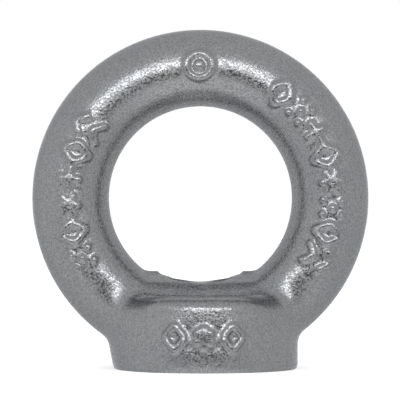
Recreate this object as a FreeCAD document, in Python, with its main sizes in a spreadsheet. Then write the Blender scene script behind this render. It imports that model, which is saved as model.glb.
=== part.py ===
import FreeCAD, Part
import Sketcher
import os

# Lifting eye nut: one steel forging, a round eye standing on a collar that is faced, bored and tapped.
# Millimetres. +Z is up along the thread, the eye faces -Y, and the origin is where the thread's axis
# meets the seat.

SIZES = {
    # Ring of round bar. The gap is from the seat up to the lowest point of the ring's outer circle.
    "eye_diameter": 34.2,
    "bar_diameter": 14.4,
    "ring_seat_gap": 0.4,
    # Collar under the ring, forged a little to one side of the thread.
    "collar_diameter": 35.3,
    "collar_height": 13.4,
    "collar_offset": 0.6,
    "shoulder_radius": 2.5,
    "seat_edge_radius": 0.6,
    # Rounding where the bar runs into the collar.
    "root_radius": 3.0,
    # Saddle that raises the eye's floor, widest in the middle and narrowed into the bar at both ends.
    "saddle_height": 18.3,
    "saddle_width": 25.0,
    "saddle_end_width": 11.6,
    "saddle_length": 24.0,
    "saddle_root_height": 4.0,
    # Tapped hole, drawn at the thread's minor diameter, with a countersink at each end.
    "thread_diameter": 16.0,
    "thread_pitch": 2.0,
    "countersink_diameter": 16.2,
}

# A metric internal thread's minor diameter is its major diameter less this many pitches.
MINOR_DIAMETER_PITCHES = 1.0825

# How far the bore's cutter runs past the seat and past the saddle.
CUTTER_OVERRUN = 1.0

# What counts as the same size or the same level when a face is looked for.
SAME = 0.001

BAR_RADIUS = "sizes.bar_diameter / 2"
RING_RADIUS = "(sizes.eye_diameter + sizes.bar_diameter) / 2"
RING_LEVEL = "(sizes.ring_seat_gap + sizes.bar_diameter + sizes.eye_diameter / 2)"
COLLAR_RADIUS = "sizes.collar_diameter / 2"
BORE_RADIUS = f"(sizes.thread_diameter - {MINOR_DIAMETER_PITCHES} * sizes.thread_pitch) / 2"
COUNTERSINK_RADIUS = "sizes.countersink_diameter / 2"

doc = FreeCAD.newDocument("lifting_eye_nut")


def add_sizes():
    """Put every driving dimension in the sheet under its own name."""
    sheet = doc.addObject("Spreadsheet::Sheet", "sizes")
    for row, (name, value) in enumerate(SIZES.items(), start=1):
        sheet.set(f"A{row}", name)
        sheet.set(f"B{row}", str(value))
        sheet.setAlias(f"B{row}", name)
    doc.recompute()
    return sheet


def size(expression):
    """The number that an expression of the sheet's sizes comes to."""
    return float(sizes.evalExpression(expression))


def point(across, up):
    """A point of a sketch, from two expressions."""
    return FreeCAD.Vector(size(across), size(up), 0)


def add_sketch(body, name, role, offset=None):
    """An empty sketch on one of the body's origin planes, moved along its normal by an expression."""
    plane = next(feature for feature in body.Origin.OriginFeatures if feature.Role == role)
    sketch = body.newObject("Sketcher::SketchObject", name)
    sketch.AttachmentSupport = [(plane, "")]
    sketch.MapMode = "FlatFace"
    if offset:
        sketch.setExpression("AttachmentOffset.Base.z", offset)
    return sketch


def dimension(sketch, kind, places, expression):
    """Add a constraint and bind its value to the sheet."""
    index = sketch.addConstraint(Sketcher.Constraint(kind, *places, size(expression)))
    sketch.setExpression(f"Constraints[{index}]", expression)


def hold(sketch, geometry, vertex, across, up):
    """Hold a point of the sketch at two distances from the origin."""
    dimension(sketch, "DistanceX", (-1, 1, geometry, vertex), across)
    dimension(sketch, "DistanceY", (-1, 1, geometry, vertex), up)


def draw_circle(sketch, across, up, radius):
    """Draw a circle, held by its middle and its radius."""
    circle = sketch.addGeometry(Part.Circle(point(across, up), FreeCAD.Vector(0, 0, 1), size(radius)))
    hold(sketch, circle, 3, across, up)
    dimension(sketch, "Radius", (circle,), radius)


def draw_lines(sketch, corners):
    """Draw straight lines from corner to corner, each new corner held by two distances from the origin."""
    lines = []
    for start, end in zip(corners, corners[1:]):
        line = sketch.addGeometry(Part.LineSegment(point(*start), point(*end)))
        if lines:
            sketch.addConstraint(Sketcher.Constraint("Coincident", lines[-1], 2, line, 1))
        hold(sketch, line, 2, *end)
        lines.append(line)
    return lines


def edges_between(shape, is_first, is_second):
    """Names of the edges where a face of one kind meets a face of another."""
    names = []
    for number, edge in enumerate(shape.Edges, start=1):
        faces = shape.ancestorsOfType(edge, Part.Face)
        if any(is_first(face) for face in faces) and any(is_second(face) for face in faces):
            names.append(f"Edge{number}")
    return names


def is_bar(face):
    """The ring's round bar."""
    surface = face.Surface
    return isinstance(surface, Part.Toroid) and abs(surface.MajorRadius - size(RING_RADIUS)) < SAME


def is_wall(face):
    """The collar's upright wall."""
    surface = face.Surface
    return isinstance(surface, Part.Cylinder) and abs(surface.Radius - size(COLLAR_RADIUS)) < SAME


def is_shoulder(face):
    """The rounding between the collar's wall and its flat top."""
    surface = face.Surface
    return isinstance(surface, Part.Toroid) and abs(surface.MinorRadius - size("sizes.shoulder_radius")) < SAME


def is_flat_top(face):
    """The collar's flat top."""
    return isinstance(face.Surface, Part.Plane) and abs(face.BoundBox.ZMin - size("sizes.collar_height")) < SAME


def is_seat(face):
    """The flat seat under the collar."""
    return isinstance(face.Surface, Part.Plane) and abs(face.BoundBox.ZMax) < SAME


def is_collar(face):
    """Any face of the collar above its seat."""
    return is_wall(face) or is_shoulder(face) or is_flat_top(face)


def add_fillet(body, name, is_first, is_second, radius):
    """Round the edges of the body so far where one kind of face meets another."""
    doc.recompute()
    so_far = body.Tip
    fillet = body.newObject("PartDesign::Fillet", name)
    fillet.Base = (so_far, edges_between(so_far.Shape, is_first, is_second))
    fillet.setExpression("Radius", radius)


def add_collar(body):
    """The collar: a round pad with a rounded shoulder and a lightly rounded seat edge."""
    outline = add_sketch(body, "collar_outline", "XY_Plane")
    draw_circle(outline, "sizes.collar_offset", "0", COLLAR_RADIUS)
    collar = body.newObject("PartDesign::Pad", "collar")
    collar.Profile = outline
    collar.setExpression("Length", "sizes.collar_height")
    add_fillet(body, "shoulder", is_wall, is_flat_top, "sizes.shoulder_radius")
    add_fillet(body, "seat_edge", is_wall, is_seat, "sizes.seat_edge_radius")


def add_ring(body):
    """The ring: the bar's round section turned once about the eye's own axis, rounded into the collar."""
    section = add_sketch(body, "bar_section", "YZ_Plane")
    draw_circle(section, "0", f"{RING_LEVEL} + {RING_RADIUS}", BAR_RADIUS)
    ends = [(f"-{BAR_RADIUS}", RING_LEVEL), (BAR_RADIUS, RING_LEVEL)]
    axis = section.addGeometry(Part.LineSegment(point(*ends[0]), point(*ends[1])), True)
    hold(section, axis, 1, *ends[0])
    hold(section, axis, 2, *ends[1])
    ring = body.newObject("PartDesign::Revolution", "ring")
    ring.Profile = section
    ring.ReferenceAxis = (section, ["Axis0"])
    ring.Angle = 360
    add_fillet(body, "root", is_bar, is_collar, "sizes.root_radius")


def add_saddle_section(body, name, width, offset):
    """One section of the saddle: a half-round arch on straight sides that stand in the collar."""
    sketch = add_sketch(body, name, "YZ_Plane", offset)
    half = f"{width} / 2"
    spring = f"sizes.saddle_height - {half}"
    root = "sizes.saddle_root_height"
    left, crown, right = (f"-{half}", spring), ("0", "sizes.saddle_height"), (half, spring)
    arch = sketch.addGeometry(Part.Arc(point(*right), point(*crown), point(*left)))
    dimension(sketch, "DistanceY", (-1, 1, arch, 3), spring)
    sides = draw_lines(sketch, [left, (f"-{half}", root), (half, root), right])
    hold(sketch, sides[0], 1, *left)
    sketch.addConstraint(Sketcher.Constraint("Coincident", arch, 2, sides[0], 1))
    sketch.addConstraint(Sketcher.Constraint("Coincident", arch, 1, sides[-1], 2))
    return sketch


def add_saddle(body):
    """The saddle: a loft along X from a narrow arch through the wide one in the middle to a narrow one."""
    reach = "sizes.saddle_length / 2"
    left = add_saddle_section(body, "saddle_left_end", "sizes.saddle_end_width", f"-{reach}")
    middle = add_saddle_section(body, "saddle_middle", "sizes.saddle_width", "0")
    right = add_saddle_section(body, "saddle_right_end", "sizes.saddle_end_width", reach)
    saddle = body.newObject("PartDesign::AdditiveLoft", "saddle")
    saddle.Profile = left
    saddle.Sections = [middle, right]


def add_bore(body):
    """The hole through the collar and the saddle, with a square countersink at each end, cut in one turn."""
    depth = f"({COUNTERSINK_RADIUS} - {BORE_RADIUS})"
    wide = f"{COUNTERSINK_RADIUS} + {CUTTER_OVERRUN}"
    below = f"-{CUTTER_OVERRUN}"
    above = f"sizes.saddle_height + {CUTTER_OVERRUN}"
    outline = add_sketch(body, "bore_outline", "XZ_Plane")
    lines = draw_lines(outline, [("0", below), (wide, below), (BORE_RADIUS, depth),
                                 (BORE_RADIUS, f"sizes.saddle_height - {depth}"), (wide, above),
                                 ("0", above), ("0", below)])
    outline.addConstraint(Sketcher.Constraint("Coincident", lines[-1], 2, lines[0], 1))
    doc.recompute()
    solid_volume = body.Shape.Volume
    bore = body.newObject("PartDesign::Groove", "bore")
    bore.Profile = outline
    bore.ReferenceAxis = (outline, ["V_Axis"])
    bore.Angle = 360
    doc.recompute()
    assert bore.Shape.Volume < solid_volume, "the bore cuts nothing"


def add_nut():
    """The whole nut, in the order in which it is forged and then bored."""
    nut = doc.addObject("PartDesign::Body", "eye_nut")
    nut.Label = "eye_nut"
    nut.Placement = FreeCAD.Placement()
    add_collar(nut)
    add_ring(nut)
    add_saddle(nut)
    add_bore(nut)
    return nut


def check(part):
    """Stop unless every object is sound and the part is one valid solid."""
    for item in doc.Objects:
        assert not {"Invalid", "Error"} & set(item.State), f"{item.Name} is {item.State}"
    assert not part.Shape.isNull() and part.Shape.isValid(), f"{part.Label} has no valid shape"
    assert len(part.Shape.Solids) == 1, f"{part.Label} is in {len(part.Shape.Solids)} pieces"


sizes = add_sizes()
nut = add_nut()
doc.recompute()
check(nut)
os.makedirs("parts", exist_ok=True)
nut.Shape.exportStep(f"parts/{nut.Label}.step")
print(f"{nut.Label}: {nut.Shape.Volume:.0f} mm3 in {len(nut.Shape.Faces)} faces")
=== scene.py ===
from math import atan2, cos, degrees, hypot, pi, radians, sin

import bpy
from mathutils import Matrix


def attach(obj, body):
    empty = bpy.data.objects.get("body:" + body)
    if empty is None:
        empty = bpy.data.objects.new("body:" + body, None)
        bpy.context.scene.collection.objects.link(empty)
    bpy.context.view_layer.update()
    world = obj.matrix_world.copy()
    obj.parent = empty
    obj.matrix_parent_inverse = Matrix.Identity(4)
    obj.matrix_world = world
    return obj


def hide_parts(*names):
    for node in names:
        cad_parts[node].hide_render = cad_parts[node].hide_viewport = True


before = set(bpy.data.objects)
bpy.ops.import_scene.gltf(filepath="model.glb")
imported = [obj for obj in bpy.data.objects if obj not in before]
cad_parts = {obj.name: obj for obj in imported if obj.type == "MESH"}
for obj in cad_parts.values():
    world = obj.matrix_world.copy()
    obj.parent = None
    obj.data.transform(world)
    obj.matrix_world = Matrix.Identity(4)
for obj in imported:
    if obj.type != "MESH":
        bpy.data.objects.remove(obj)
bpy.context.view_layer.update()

# Lifting eye nut, drop forged, faced and bored, and zinc plated. Its bore is left plain, without a thread.
# Blender works in metres and the sizes here are in millimetres, so each is multiplied by MM.
# The ring faces -Y, the bore's axis is Z, and the seat is at z = 0.
MM = 0.001

# Ring, collar and saddle, as in the CAD.
RING_LEVEL = 31.9 * MM
RING_RADIUS = 24.3 * MM
BAR_RADIUS = 7.2 * MM
COLLAR_CENTRE = 0.6 * MM
COLLAR_RADIUS = 17.65 * MM
SADDLE_LEVEL = 18.3 * MM
SADDLE_ARCH = 11.6 * MM
SHELF_LEVEL = 13.4 * MM

# Bore, at the thread's minor diameter, and its countersinks.
MINOR_RADIUS = 6.9175 * MM
COUNTERSINK_RADIUS = 8.1 * MM

# The cutters: how far they run past the nut and how finely they are divided. The drill and the countersinks
# are turned a little, so that no edges of two cutters meet along their length.
CUTTER_OVERRUN = 1.0 * MM
CUTTER_SEGMENTS = 96
CUTTER_TURN = 0.6 * pi / CUTTER_SEGMENTS

# The forging: metal left on the seat for facing and where the bore goes, how fine its mesh is, and the width
# of its flash line.
FACING_ALLOWANCE = 0.8 * MM
SLUG_RADIUS = 8.05 * MM
BLANK_VOXEL = 0.35 * MM
FORGING_VOXEL = 0.31 * MM
PARTING_WIDTH = 0.9 * MM

# Raised marks on the front: size and stroke of one mark, and how far it stands up.
MARK_WIDTH = 3.9 * MM
MARK_HEIGHT = 5.8 * MM
MARK_STROKE = 1.1 * MM
MARK_RELIEF = 0.5 * MM
COLLAR_MARK_RELIEF = 0.6 * MM
MARK_DEPTH = 5.0 * MM
MARK_RADIUS = 24.5 * MM

# How far the collar's front and back are drawn in at most, and the left side at its foot. How high the lip of
# the collar's shelf stands, and how far the saddle's crown lies below the flash line.
COLLAR_DRAW = 1.2 * MM
LEFT_DRAFT = 0.7 * MM
LIP_HEIGHT = 0.4 * MM
CROWN_DROP = 0.5 * MM

# Angle under which neighbouring faces are shaded as one smooth surface, in degrees.
SMOOTH_ANGLE = 38

# The studio that the metal reflects: a plain room, a dark oval in front at eye level, a pale table below it
# and a window at the left. Each oval's middle and half sizes are shares of a direction's length.
ROOM_STRENGTH = 1.03
DARK_SHARE = 0.03
DARK_MIDDLE = (0, -1, -0.11)
DARK_HALF_SIZE = (0.65, 1.2, 0.2)
TABLE_SHARE = 1.5
TABLE_MIDDLE = (0, -0.6, -0.75)
TABLE_HALF_SIZE = (0.6, 0.9, 0.5)
WINDOW_SHARE = 1.12
WINDOW_MIDDLE = (-1, -0.3, 0)
WINDOW_HALF_SIZE = (0.9, 0.9, 0.7)

# What counts as the same place when faces are picked.
SAME = 0.01 * MM


def select_only(*pieces):
    """Make these the only selected objects, with the first one active."""
    bpy.ops.object.select_all(action="DESELECT")
    for piece in pieces:
        piece.select_set(True)
    bpy.context.view_layer.objects.active = pieces[0]


def apply_modifier(piece, kind, **settings):
    """Add a modifier with these settings to a piece and apply it."""
    select_only(piece)
    modifier = piece.modifiers.new(kind.lower(), kind)
    for name, value in settings.items():
        setattr(modifier, name, value)
    bpy.ops.object.modifier_apply(modifier=modifier.name)


def join(name, pieces):
    """Join pieces into one object with this name."""
    select_only(*pieces)
    bpy.ops.object.join()
    pieces[0].name = name
    return pieces[0]


def remove(piece):
    """Delete a helper object."""
    bpy.data.objects.remove(piece)


def added(name):
    """Name the primitive just added, and put its place, turn and scale into its mesh."""
    piece = bpy.context.object
    piece.name = name
    select_only(piece)
    bpy.ops.object.transform_apply()
    return piece


def edit_faces(piece, wanted):
    """Open a piece for editing with just the faces selected that pass the test."""
    select_only(piece)
    bpy.ops.object.mode_set(mode="EDIT")
    bpy.ops.mesh.select_mode(type="FACE")
    bpy.ops.mesh.select_all(action="DESELECT")
    bpy.ops.object.mode_set(mode="OBJECT")
    for face in piece.data.polygons:
        face.select = wanted(piece.data, face)
    bpy.ops.object.mode_set(mode="EDIT")


def in_seat(mesh, face):
    """Whether a face lies in the seat."""
    return all(abs(mesh.vertices[index].co.z) < SAME for index in face.vertices)


def bore_slug():
    """The metal that the bore takes out: a round slug whose top follows the saddle's arch."""
    bpy.ops.mesh.primitive_cylinder_add(
        vertices=128, radius=SADDLE_ARCH, depth=2 * SLUG_RADIUS,
        location=(0, 0, SADDLE_LEVEL - SADDLE_ARCH), rotation=(0, pi / 2, 0))
    arch = added("arch")
    bpy.ops.mesh.primitive_cylinder_add(
        vertices=96, radius=SLUG_RADIUS, depth=SADDLE_LEVEL + 2 * FACING_ALLOWANCE,
        location=(0, 0, SADDLE_LEVEL / 2))
    slug = added("slug")
    apply_modifier(slug, "BOOLEAN", operation="INTERSECT", object=arch, solver="EXACT")
    remove(arch)
    return slug


def solid_blank():
    """The nut as it leaves the dies: a merged copy of the CAD nut with its hole filled."""
    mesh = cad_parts["eye_nut"].data.copy()
    mesh.materials.clear()
    blank = bpy.data.objects.new("eye_nut_forging", mesh)
    bpy.context.scene.collection.objects.link(blank)
    select_only(blank)
    bpy.ops.object.mode_set(mode="EDIT")
    bpy.ops.mesh.select_all(action="SELECT")
    bpy.ops.mesh.remove_doubles(threshold=0.1 * SAME)
    bpy.ops.object.mode_set(mode="OBJECT")
    edit_faces(blank, in_seat)
    bpy.ops.mesh.extrude_region_move(TRANSFORM_OT_translate={"value": (0, 0, -FACING_ALLOWANCE)})
    bpy.ops.object.mode_set(mode="OBJECT")
    return join("eye_nut_forging", [blank, bore_slug()])


def cut_flat(piece, place, normal):
    """Cut a piece off flat, keep what is behind the plane and close the cut."""
    select_only(piece)
    bpy.ops.object.mode_set(mode="EDIT")
    bpy.ops.mesh.select_all(action="SELECT")
    bpy.ops.mesh.bisect(plane_co=place, plane_no=normal, use_fill=True, clear_outer=True)
    bpy.ops.object.mode_set(mode="OBJECT")


def parting_slice(blank):
    """A thin slice of the full-size blank where the two dies met, which leaves the trimmed flash line."""
    select_only(blank)
    bpy.ops.object.duplicate()
    parting = bpy.context.object
    for side in (-1, 1):
        cut_flat(parting, (0, side * PARTING_WIDTH / 2, 0), (0, side, 0))
    return parting


def swell(piece, name, grain, depth):
    """Press a soft random unevenness into a surface, inwards only."""
    texture = bpy.data.textures.new(name, "CLOUDS")
    texture.noise_scale = grain
    texture.noise_depth = 1
    apply_modifier(piece, "DISPLACE", texture=texture, texture_coords="LOCAL", mid_level=1.0,
                   strength=depth)


def paint(piece, name, weight):
    """Paint a vertex group by place: a weight from 0 to 1 for each point."""
    group = piece.vertex_groups.new(name=name)
    for vertex in piece.data.vertices:
        share = weight(vertex.co)
        if share > 0:
            group.add([vertex.index], share, "REPLACE")


def ramp(value, start, end):
    """Rise smoothly from 0 at start to 1 at end."""
    share = min(max((value - start) / (end - start), 0), 1)
    return share * share * (3 - 2 * share)


def crease_weight(point):
    """How far a point is in the crease between the saddle's foot and the collar's shelf."""
    level = ramp(abs(point.z - SHELF_LEVEL), 3 * MM, 1.5 * MM) * ramp(abs(point.y), 14.5 * MM, 12.5 * MM)
    return level * ramp(hypot(point.x, point.y), 8.8 * MM, 10.4 * MM) * ramp(abs(point.x), 19 * MM, 14 * MM)


def crown_weight(point):
    """How far a point is on the saddle's crown, beside the flash line."""
    level = ramp(point.z, 16.3 * MM, 17.5 * MM) * ramp(point.z, 24 * MM, 21 * MM)
    return level * ramp(abs(point.x), 11.5 * MM, 9 * MM)


def lip_weight(point):
    """How far a point is on the outer edge of the collar's shelf, which stands up a little."""
    lip = ramp(abs(point.y), 11.5 * MM, 14.5 * MM) * ramp(point.z, 10.5 * MM, 12.5 * MM)
    return lip * ramp(abs(point.x), 16 * MM, 9 * MM)


def root_weight(point):
    """How far a point is in the hollow where the bar runs into the collar."""
    level = ramp(point.z, 2.5 * MM, 6 * MM) * ramp(point.z, 19 * MM, 14 * MM)
    side = ramp(abs(point.x), 8 * MM, 12 * MM) * ramp(abs(point.x), 25 * MM, 20 * MM)
    return level * side * ramp(abs(point.y), 0.5 * MM, 3.5 * MM)


def collar_weight(point):
    """How far a point of the collar's wall is drawn in, as a share of COLLAR_DRAW."""
    lean = 0.9 * (max(point.z - 3 * MM, 0) / (10.5 * MM)) ** 1.3
    barrel = lean + 0.3 * ramp(point.z, 4 * MM, -0.5 * MM)
    dent = 0.25 * ramp(abs(point.x - COLLAR_CENTRE), 10 * MM, 4 * MM) if point.y < 0 else 0
    radius = hypot(point.x - COLLAR_CENTRE, point.y)
    wall = ramp(radius, COLLAR_RADIUS - 5.5 * MM, COLLAR_RADIUS - 2.5 * MM)
    wall *= ramp(abs(point.y), 6 * MM, 12 * MM)
    wall *= ramp(point.z, 17 * MM, 14 * MM)
    return (barrel + dent * ramp(point.z, 10.5 * MM, 7 * MM)) * wall


def draw_collar_in(piece):
    """Lean the collar's front and back like a barrel, as the dies' draft left them."""
    for name, side in (("collar_front", -1), ("collar_back", 1)):
        paint(piece, name, lambda point: collar_weight(point) if side * point.y > 0 else 0)
        apply_modifier(piece, "DISPLACE", direction="Y", mid_level=0, strength=-side * COLLAR_DRAW,
                       vertex_group=name)


def left_side_weight(point):
    """How far a point is at the foot of the collar's left side."""
    return ramp(point.z, 4.6 * MM, -0.4 * MM) * ramp(point.x, -9 * MM, -15 * MM)


def draft_left_side(piece):
    """Lean the collar's left side in towards its foot."""
    paint(piece, "left_side", left_side_weight)
    apply_modifier(piece, "DISPLACE", direction="X", mid_level=0, strength=LEFT_DRAFT,
                   vertex_group="left_side")


def soften(piece, name, weight, iterations):
    """Smooth a part of a surface, fading out round it."""
    paint(piece, name, weight)
    apply_modifier(piece, "SMOOTH", factor=0.5, iterations=iterations, vertex_group=name)


def raise_part(piece, name, weight, height):
    """Raise a part of a surface, fading out round it."""
    paint(piece, name, weight)
    apply_modifier(piece, "DISPLACE", mid_level=0, strength=height, vertex_group=name)


def add_bar(across, up, length, turn=0):
    """One straight stroke of a mark."""
    bpy.ops.mesh.primitive_cube_add(
        size=1, location=(across, 0, up), rotation=(0, radians(turn), 0),
        scale=(length, MARK_DEPTH, MARK_STROKE))
    return added("stroke")


def add_dot(across, up, radius=0.6 * MM):
    """One round dot of a mark."""
    bpy.ops.mesh.primitive_cylinder_add(
        vertices=24, radius=radius, depth=MARK_DEPTH, location=(across, 0, up), rotation=(pi / 2, 0, 0))
    return added("dot")


def cross_mark(width, height):
    """An upright cross with equal arms."""
    return [add_bar(0, 0, 0.8 * height, turn) for turn in (0, 90)]


def star_mark(width, height):
    """A star of three strokes."""
    return [add_bar(0, 0, 0.85 * height, turn) for turn in (30, 90, 150)]


def dots_mark(width, height):
    """A dot with four more round it."""
    return [add_dot(0, 0)] + [add_dot(x * width / 3, z * height / 3) for x in (-1, 1) for z in (-1, 1)]


def lozenge_mark(width, height):
    """An upright lozenge."""
    slope = degrees(atan2(height, width))
    side = 0.5 * hypot(width, height)
    return [add_bar(x * width / 4, z * height / 4, side, x * z * slope) for x in (-1, 1) for z in (-1, 1)]


def chevrons_mark(width, height):
    """Two chevrons, one above the other."""
    tops = (height / 2 - width / 4, width / 4 - height / 2)
    return [add_bar(side * width / 4, top, 0.8 * width, side * 45) for side in (-1, 1) for top in tops]


def band_mark():
    """A round band about a dot."""
    bpy.ops.mesh.primitive_torus_add(
        major_segments=48, minor_segments=12, major_radius=2.45 * MM, minor_radius=MARK_STROKE / 2,
        rotation=(pi / 2, 0, 0))
    band = bpy.context.object
    band.scale = (1, 1, MARK_DEPTH / MARK_STROKE)
    return [added("band"), add_dot(0, 0, 0.9 * MM)]


def place_mark(strokes, centre, turn):
    """Join a mark's strokes, turn it in its own plane and set its middle in place."""
    mark = join("mark", strokes)
    mark.rotation_euler.y = turn
    mark.location = centre
    select_only(mark)
    bpy.ops.object.transform_apply()
    return mark


def place_ring_mark(strokes, angle):
    """Put a mark on the ring's front at an angle from +X towards +Z, its top away from the eye."""
    around = radians(angle)
    centre = (MARK_RADIUS * cos(around), -BAR_RADIUS, RING_LEVEL + MARK_RADIUS * sin(around))
    return place_mark(strokes, centre, pi / 2 - around)


def keep_common(marks, form):
    """Trim marks to what lies inside a form, so that their tops follow its surface."""
    apply_modifier(marks, "BOOLEAN", operation="INTERSECT", object=form, solver="EXACT", use_self=True)
    remove(form)
    return marks


def ring_marks():
    """The raised marks round the front of the ring, with tops that follow the round bar."""
    left = (dots_mark, lozenge_mark, star_mark, cross_mark, lozenge_mark, chevrons_mark)
    right = (chevrons_mark, lozenge_mark, dots_mark, star_mark, lozenge_mark, cross_mark, dots_mark,
             lozenge_mark)
    placed = [place_ring_mark(draw(MARK_WIDTH, MARK_HEIGHT), 207.0 - 11.8 * step)
              for step, draw in enumerate(left)]
    placed += [place_ring_mark(draw(MARK_WIDTH, MARK_HEIGHT), -27.0 + 11.3 * step)
               for step, draw in enumerate(right)]
    placed.append(place_ring_mark(band_mark(), 90.5))
    marks = join("ring_marks", placed)
    bpy.ops.mesh.primitive_torus_add(
        major_segments=144, minor_segments=48, major_radius=RING_RADIUS,
        minor_radius=BAR_RADIUS + MARK_RELIEF, location=(0, 0, RING_LEVEL), rotation=(pi / 2, 0, 0))
    return keep_common(marks, added("fat_ring"))


def collar_marks():
    """The three raised marks on the collar's front."""
    placed = []
    for step, draw in enumerate((lozenge_mark, star_mark, lozenge_mark), start=-1):
        centre = (COLLAR_CENTRE + step * 5.4 * MM, -COLLAR_RADIUS, 6.5 * MM)
        placed.append(place_mark(draw(3.8 * MM, 4.8 * MM), centre, 0))
    marks = join("collar_marks", placed)
    bpy.ops.mesh.primitive_cylinder_add(
        vertices=256, radius=COLLAR_RADIUS + COLLAR_MARK_RELIEF, depth=30 * MM,
        location=(COLLAR_CENTRE, 0, 0))
    keep_common(marks, added("fat_collar"))
    draw_collar_in(marks)
    cut_flat(marks, (0, 0.1 * MM - COLLAR_RADIUS, 0), (0, -1, 0))
    return marks


def add_drill():
    """The drill, at the thread's minor diameter, from below the seat to above the saddle."""
    bpy.ops.mesh.primitive_cylinder_add(
        vertices=CUTTER_SEGMENTS, radius=MINOR_RADIUS, depth=SADDLE_LEVEL + 4 * CUTTER_OVERRUN,
        location=(0, 0, SADDLE_LEVEL / 2), rotation=(0, 0, CUTTER_TURN))
    return added("drill")


def add_countersink(level, side):
    """The cutter of a square countersink, wide at its level and narrowing into the nut."""
    reach = COUNTERSINK_RADIUS - MINOR_RADIUS
    bpy.ops.mesh.primitive_cone_add(
        vertices=CUTTER_SEGMENTS, radius1=COUNTERSINK_RADIUS + CUTTER_OVERRUN,
        radius2=MINOR_RADIUS - CUTTER_OVERRUN, depth=reach + 2 * CUTTER_OVERRUN,
        location=(0, 0, level + side * (reach / 2)), rotation=(0 if side > 0 else pi, 0, 2 * CUTTER_TURN))
    return added("countersink")


def add_facing_cutter():
    """The cutter that faces the seat: all below it."""
    bpy.ops.mesh.primitive_cylinder_add(
        vertices=CUTTER_SEGMENTS, radius=20 * MM, depth=4 * MM, location=(COLLAR_CENTRE, 0, -2 * MM))
    return added("facing_cutter")


def add_cutters():
    """The cutters in their order: facing cutter, drill and countersinks."""
    return add_facing_cutter(), add_drill(), add_countersink(0, 1), add_countersink(SADDLE_LEVEL, -1)


def add_forging(finish):
    """The forging with its marks and flash line, as one soft closed skin."""
    blank = solid_blank()
    apply_modifier(blank, "REMESH", mode="VOXEL", voxel_size=BLANK_VOXEL)
    apply_modifier(blank, "SMOOTH", factor=0.5, iterations=8)
    draft_left_side(blank)
    parting = parting_slice(blank)
    raise_part(blank, "lip", lip_weight, LIP_HEIGHT)
    raise_part(blank, "crown", crown_weight, -CROWN_DROP)
    soften(blank, "crease", crease_weight, 24)
    soften(blank, "roots", root_weight, 180)
    draw_collar_in(blank)
    swell(blank, "forging_swell", 7.0 * MM, 0.11 * MM)
    swell(blank, "forging_scale", 1.6 * MM, 0.04 * MM)
    forging = join("eye_nut_forging", [blank, parting, ring_marks(), collar_marks()])
    apply_modifier(forging, "REMESH", mode="VOXEL", voxel_size=FORGING_VOXEL)
    apply_modifier(forging, "SMOOTH", factor=0.5, iterations=7)
    apply_modifier(forging, "DECIMATE", ratio=0.7)
    forging.data.materials.clear()
    forging.data.materials.append(finish)
    return forging


def machine(forging, finish):
    """Face the forging's seat, then bore and countersink it. Each cut leaves the machined finish."""
    for cutter in add_cutters():
        cutter.data.materials.clear()
        cutter.data.materials.append(finish)
        apply_modifier(forging, "BOOLEAN", operation="DIFFERENCE", object=cutter, solver="EXACT",
                       material_mode="TRANSFER")
        remove(cutter)
    select_only(forging)
    bpy.ops.object.shade_smooth_by_angle(angle=radians(SMOOTH_ANGLE))


def blank_material(name):
    """A new node material and its shader."""
    material = bpy.data.materials.new(name)
    material.use_nodes = True
    return material, material.node_tree.nodes["Principled BSDF"]


def add_node(material, kind, inputs=None, **settings):
    """Add a node, set its properties, and set or link its inputs."""
    node = material.node_tree.nodes.new(kind)
    for name, value in settings.items():
        setattr(node, name, value)
    for name, value in (inputs or {}).items():
        socket = node.inputs[name]
        if isinstance(value, bpy.types.NodeSocket):
            material.node_tree.links.new(value, socket)
        else:
            socket.default_value = value
    return node


def blend_colours(material, share, first, second):
    """Mix two colours by a share."""
    mix = add_node(material, "ShaderNodeMix", data_type="RGBA")
    material.node_tree.links.new(share, mix.inputs[0])
    for socket, value in ((mix.inputs[6], first), (mix.inputs[7], second)):
        if isinstance(value, bpy.types.NodeSocket):
            material.node_tree.links.new(value, socket)
        else:
            socket.default_value = (*value, 1)
    return mix.outputs[2]


def spread(material, value, low, high):
    """Map the middle of a noise's range to low and high."""
    return add_node(material, "ShaderNodeMapRange", {
        "Value": value, "From Min": 0.3, "From Max": 0.7, "To Min": low, "To Max": high}).outputs[0]


def grain(material, place, scale, detail=2.0):
    """Soft noise of so many features to the metre."""
    return add_node(material, "ShaderNodeTexNoise", {
        "Vector": place, "Scale": scale, "Detail": detail, "Roughness": 0.6}).outputs[0]


def add_bump(material, height, distance, below=None):
    """A bump of this depth, on top of the bump below it."""
    inputs = {"Height": height, "Strength": 1.0, "Distance": distance}
    if below:
        inputs["Normal"] = below
    return add_node(material, "ShaderNodeBump", inputs).outputs[0]


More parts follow.
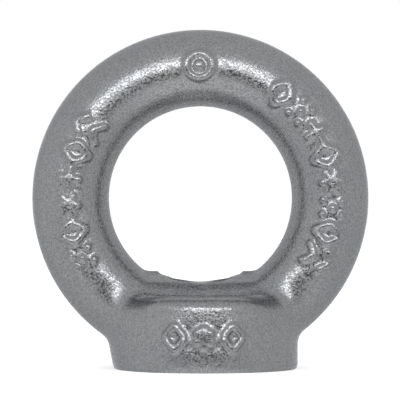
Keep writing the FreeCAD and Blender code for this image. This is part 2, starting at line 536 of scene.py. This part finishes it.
def blasted_zinc():
    """Bright zinc plating over a shot-blasted forging: cool grey, softly dimpled, with sparkling grain."""
    material, shader = blank_material("blasted_zinc")
    place = add_node(material, "ShaderNodeTexCoord").outputs["Object"]
    patches = grain(material, place, 90)
    tone = blend_colours(
        material, spread(material, patches, 0, 1), (0.26, 0.268, 0.282), (0.286, 0.286, 0.282))
    fine = grain(material, place, 3200)
    colour = blend_colours(material, spread(material, fine, 0, 1), (0.147, 0.152, 0.161), tone)
    dimples = add_node(material, "ShaderNodeTexVoronoi", {
        "Vector": place, "Scale": 2100, "Smoothness": 0.7}, feature="SMOOTH_F1").outputs[0]
    peel = add_bump(material, grain(material, place, 700), 0.04 * MM)
    dimpled = add_bump(material, dimples, 0.025 * MM, peel)
    sparkling = add_bump(material, fine, 0.036 * MM, dimpled)
    dull = add_node(material, "ShaderNodeMapRange", {
        "Value": grain(material, place, 2600), "From Min": 0.36, "From Max": 0.64,
        "To Min": 0.08, "To Max": 0.52})
    material.node_tree.links.new(colour, shader.inputs["Base Color"])
    material.node_tree.links.new(dull.outputs[0], shader.inputs["Roughness"])
    material.node_tree.links.new(sparkling, shader.inputs["Normal"])
    shader.inputs["Metallic"].default_value = 0.85
    shader.inputs["Specular Tint"].default_value = (0.7, 0.71, 0.73, 1)
    return material


def turned_zinc():
    """Zinc plating over turned metal: the seat, the bore and its countersinks, with fine tool rings."""
    material, shader = blank_material("turned_zinc")
    place = add_node(material, "ShaderNodeTexCoord").outputs["Object"]
    rings = add_node(material, "ShaderNodeTexWave", {
        "Vector": place, "Scale": 1500, "Distortion": 0.6, "Detail": 1.0},
        wave_type="RINGS", rings_direction="Z").outputs[1]
    stains = grain(material, place, 300)
    colour = blend_colours(
        material, spread(material, stains, 0, 1), (0.36, 0.365, 0.375), (0.29, 0.292, 0.295))
    bump = add_bump(material, rings, 0.01 * MM)
    material.node_tree.links.new(colour, shader.inputs["Base Color"])
    material.node_tree.links.new(spread(material, stains, 0.34, 0.48), shader.inputs["Roughness"])
    material.node_tree.links.new(bump, shader.inputs["Normal"])
    shader.inputs["Metallic"].default_value = 1.0
    return material


def floor_material():
    """White floor that keeps the nut's shadow. Reflections in the metal show the studio beyond it."""
    material = bpy.data.materials.new("white_floor")
    material.use_nodes = True
    nodes = material.node_tree.nodes
    links = material.node_tree.links
    nodes.clear()
    path = nodes.new("ShaderNodeLightPath")
    paper = nodes.new("ShaderNodeBsdfDiffuse")
    paper.inputs["Color"].default_value = (0.8, 0.8, 0.8, 1)
    glow = nodes.new("ShaderNodeEmission")
    glow.inputs["Strength"].default_value = 0.35
    both = nodes.new("ShaderNodeAddShader")
    clear = nodes.new("ShaderNodeBsdfTransparent")
    mix = nodes.new("ShaderNodeMixShader")
    output = nodes.new("ShaderNodeOutputMaterial")
    links.new(paper.outputs[0], both.inputs[0])
    links.new(glow.outputs[0], both.inputs[1])
    links.new(path.outputs["Is Glossy Ray"], mix.inputs[0])
    links.new(both.outputs[0], mix.inputs[1])
    links.new(clear.outputs[0], mix.inputs[2])
    links.new(mix.outputs[0], output.inputs["Surface"])
    return material


def add_floor():
    """A wide plain floor under the nut."""
    bpy.ops.mesh.primitive_plane_add(size=6, location=(0, 0, 0))
    floor = added("floor")
    floor.data.materials.append(floor_material())


def add_oval(nodes, links, place, middle, half_size, share):
    """A factor that is this share inside an oval of directions and fades to one outside it."""
    oval = nodes.new("ShaderNodeMapping")
    oval.inputs["Scale"].default_value = [1 / half for half in half_size]
    oval.inputs["Location"].default_value = [-at / half for at, half in zip(middle, half_size)]
    away = nodes.new("ShaderNodeVectorMath")
    away.operation = "LENGTH"
    factor = nodes.new("ShaderNodeMapRange")
    factor.interpolation_type = "SMOOTHSTEP"
    factor.inputs["From Min"].default_value = 0.7
    factor.inputs["From Max"].default_value = 1.15
    factor.inputs["To Min"].default_value = share
    factor.inputs["To Max"].default_value = 1
    links.new(place, oval.inputs["Vector"])
    links.new(oval.outputs[0], away.inputs[0])
    links.new(away.outputs["Value"], factor.inputs["Value"])
    return factor.outputs[0]


def multiply(nodes, links, first, second):
    """The product of two values, either of them a number or a socket."""
    node = nodes.new("ShaderNodeMath")
    node.operation = "MULTIPLY"
    links.new(first, node.inputs[0])
    if isinstance(second, bpy.types.NodeSocket):
        links.new(second, node.inputs[1])
    else:
        node.inputs[1].default_value = second
    return node.outputs[0]


def add_world():
    """White to the camera. The metal reflects a pale room with one dark oval and two brighter ones."""
    world = bpy.data.worlds.new("studio")
    world.use_nodes = True
    bpy.context.scene.world = world
    nodes = world.node_tree.nodes
    links = world.node_tree.links
    nodes.clear()
    place = nodes.new("ShaderNodeTexCoord").outputs["Generated"]
    dark = add_oval(nodes, links, place, DARK_MIDDLE, DARK_HALF_SIZE, DARK_SHARE)
    table = add_oval(nodes, links, place, TABLE_MIDDLE, TABLE_HALF_SIZE, TABLE_SHARE)
    window = add_oval(nodes, links, place, WINDOW_MIDDLE, WINDOW_HALF_SIZE, WINDOW_SHARE)
    bright = multiply(nodes, links, table, window)
    level = multiply(nodes, links, multiply(nodes, links, dark, bright), ROOM_STRENGTH)
    room = nodes.new("ShaderNodeBackground")
    white = nodes.new("ShaderNodeBackground")
    for background in (room, white):
        background.inputs["Color"].default_value = (1, 1, 1, 1)
    path = nodes.new("ShaderNodeLightPath")
    mix = nodes.new("ShaderNodeMixShader")
    output = nodes.new("ShaderNodeOutputWorld")
    links.new(level, room.inputs["Strength"])
    links.new(path.outputs["Is Camera Ray"], mix.inputs[0])
    links.new(room.outputs[0], mix.inputs[1])
    links.new(white.outputs[0], mix.inputs[2])
    links.new(mix.outputs[0], output.inputs["Surface"])


def add_softbox(name, place, target, width, height, power):
    """A soft lamp that faces a point."""
    bpy.ops.object.light_add(type="AREA", location=place)
    lamp = bpy.context.object
    lamp.name = name
    lamp.data.shape = "RECTANGLE"
    lamp.data.size = width
    lamp.data.size_y = height
    lamp.data.energy = power
    lamp.visible_camera = False
    direction = lamp.location - target
    lamp.rotation_euler = direction.to_track_quat("Z", "Y").to_euler()


def add_camera():
    """The camera level in front of the ring, as in the photograph."""
    bpy.ops.object.camera_add(location=(-0.07 * MM, -540 * MM, 31.5 * MM), rotation=(pi / 2, 0, 0))
    camera = bpy.context.object
    camera.data.sensor_width = 36
    camera.data.lens = 36 * 540 / 74.9
    camera.data.clip_start = 0.01
    bpy.context.scene.camera = camera


def set_scene():
    """Colours as written, with no film look."""
    bpy.context.scene.view_settings.view_transform = "Standard"


blasted = blasted_zinc()
turned = turned_zinc()
nut = add_forging(blasted)
machine(nut, turned)
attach(nut, "root")
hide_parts("eye_nut")

add_floor()
add_world()
centre = nut.location.copy()
centre.z = RING_LEVEL
add_softbox("front_softbox", (0, -0.85, 0.33), centre, 0.95, 0.24, 4.3)
add_camera()
set_scene()

print("triangles:", sum(len(face.vertices) - 2 for face in nut.data.polygons))
